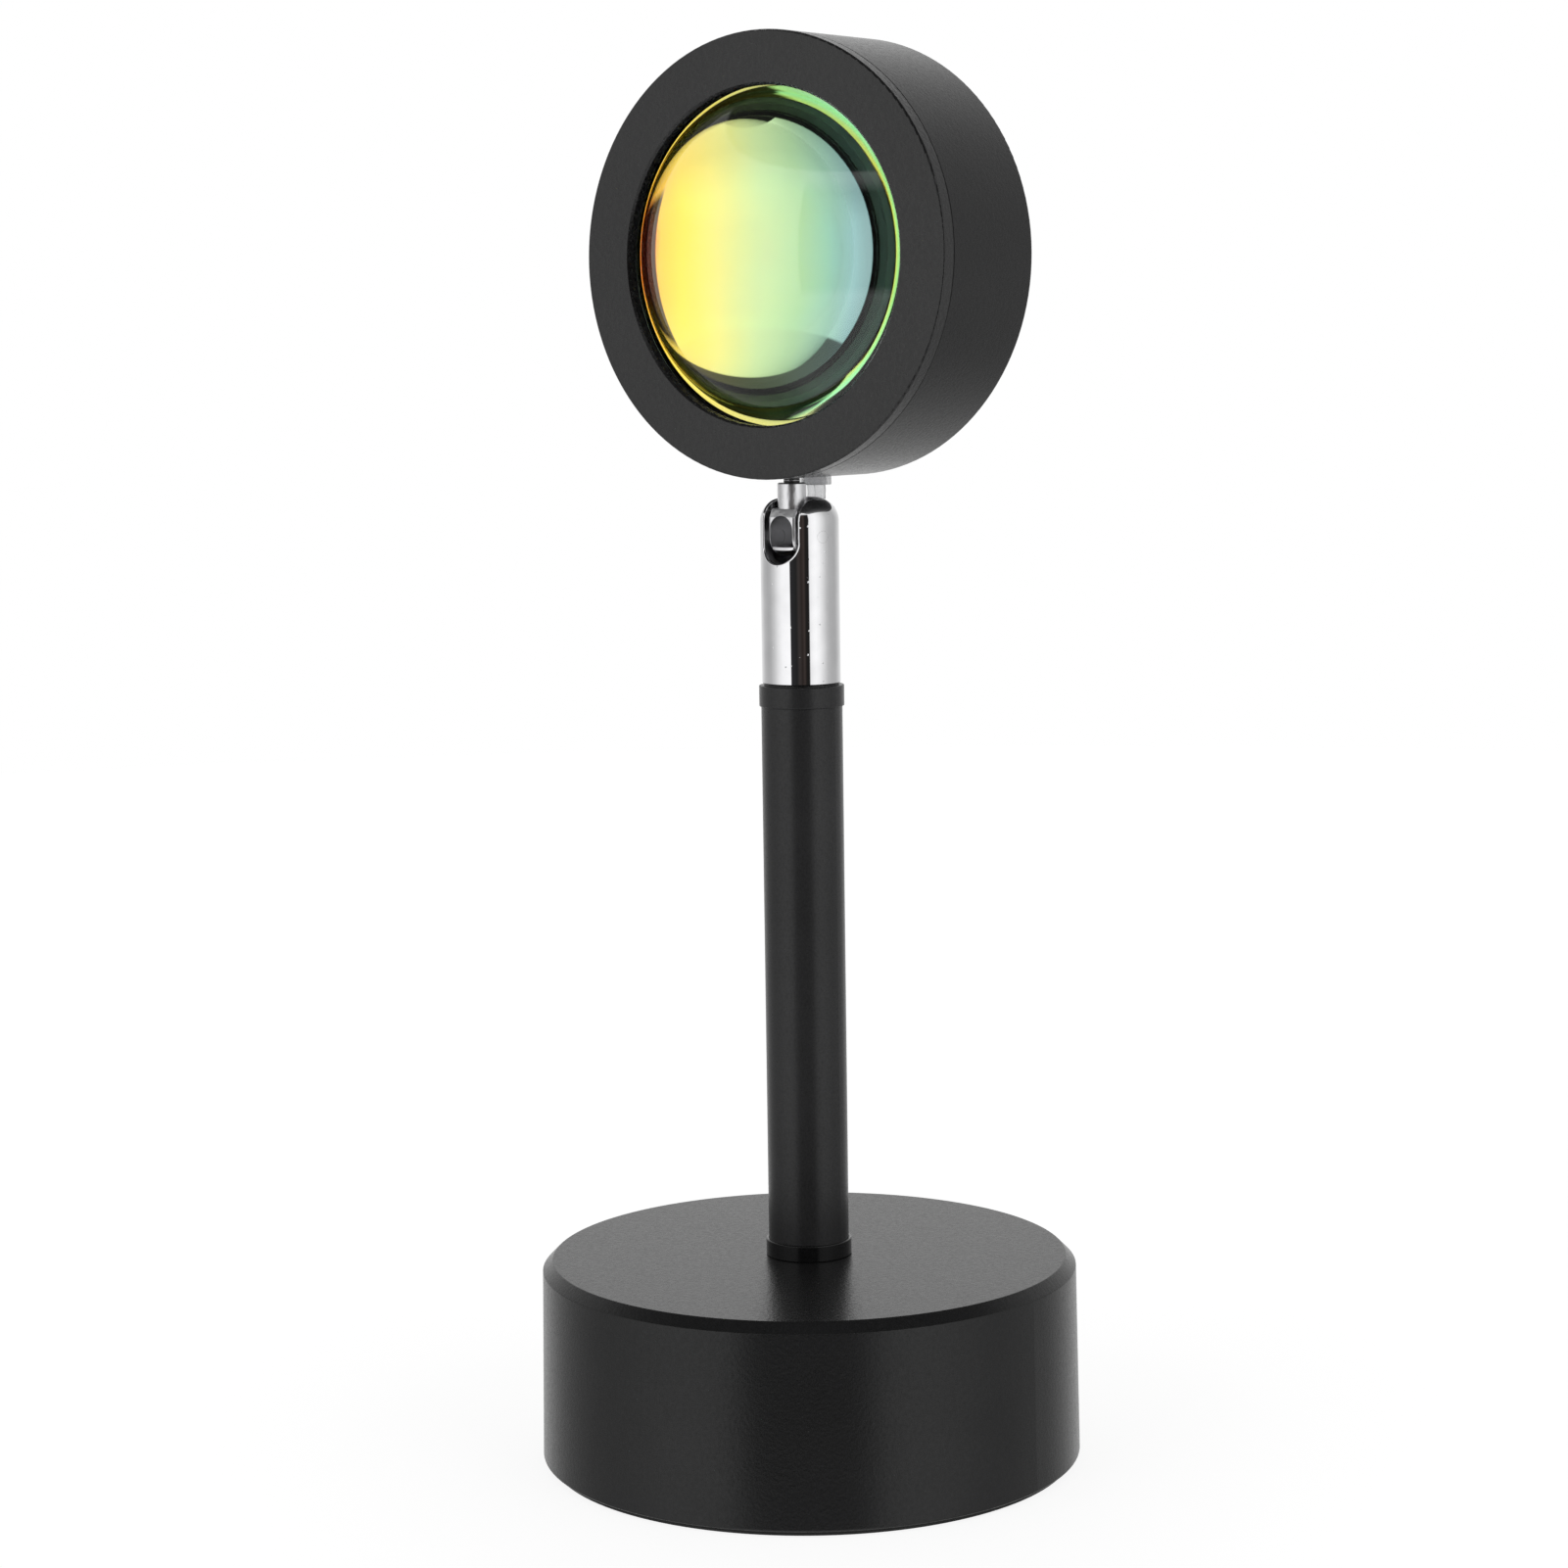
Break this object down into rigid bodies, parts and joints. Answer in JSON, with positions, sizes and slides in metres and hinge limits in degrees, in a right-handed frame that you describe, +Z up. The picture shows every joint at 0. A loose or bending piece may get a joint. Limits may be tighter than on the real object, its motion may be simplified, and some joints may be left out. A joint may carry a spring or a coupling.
{
  "type": "projection lamp",
  "caption": "Table projection lamp: weighted round base, slim post, slotted chrome swivel elbow and a drum-shaped head with a domed lens over a colour-coated disc.",
  "frame": {"origin": "centre of the foot, on the table under the post", "axes": "+Z up along the post, -Y the way the lens faces at rest, +X to the right seen from the front"},
  "size_m": [0.1012, 0.1012, 0.2635],
  "materials": {
    "black_powder_coat": "fine-grained satin black powder coat",
    "black_satin_paint": "smooth satin black paint",
    "black_gloss_paint": "glossy black paint",
    "chrome": "bright chrome plate",
    "zinc_steel": "bright zinc",
    "cast_iron": "raw casting",
    "brass": "turned and threaded",
    "black_rubber": "matte rubber",
    "black_nylon": "matte black moulding",
    "lens_glass": "polished clear glass",
    "colour_coating": "coated disc that runs from orange through green to cyan",
    "thermal_compound": "soft grey pad",
    "board_metal": "white-faced metal board",
    "emitter_phosphor": "yellow phosphor under a clear dome",
    "clear_vinyl": "translucent light grey vinyl"
  },
  "bodies": {
    "stand": {"base_shell": "black_powder_coat", "base_plate": "zinc_steel", "ballast": "cast_iron", "foot_pad": "black_rubber", "plate_screws": "zinc_steel", "cable_grommet": "black_rubber", "base_nipple": "brass", "base_washer": "zinc_steel", "base_nut": "brass", "lower_collar": "black_gloss_paint", "post_tube": "black_satin_paint", "lower_insert": "brass", "upper_insert": "brass", "upper_collar": "black_gloss_paint", "swivel_nipple": "brass", "swivel_washer": "black_nylon", "lead_post": "clear_vinyl"},
    "elbow": {"elbow_body": "chrome", "pivot_pins": "chrome", "pivot_washers": "zinc_steel", "lead_elbow": "clear_vinyl", "lead_bridge": "clear_vinyl"},
    "head": {"knuckle": "chrome", "head_screw": "zinc_steel", "head_washer": "zinc_steel", "head_shell": "black_powder_coat", "front_bezel": "black_powder_coat", "lens_seal": "black_rubber", "lens": "lens_glass", "colour_filter": "colour_coating", "lens_holder": "black_nylon", "thermal_pad": "thermal_compound", "led_board": "board_metal", "board_screws": "zinc_steel", "led_emitter": "emitter_phosphor", "lead_bush": "clear_vinyl", "lead_head": "clear_vinyl"}
  },
  "joints": [
    {"name": "head_swivel", "type": "hinge", "parent": "stand", "child": "elbow", "pos_m": [0, 0, 0.1458], "axis": [0, 0, 1], "range_deg": [-170, 170]},
    {"name": "head_tilt", "type": "hinge", "parent": "elbow", "child": "head", "pos_m": [0, -0.0022, 0.1729], "axis": [1, 0, 0], "range_deg": [0, 90], "deforming": ["lead_bridge"]}
  ]
}
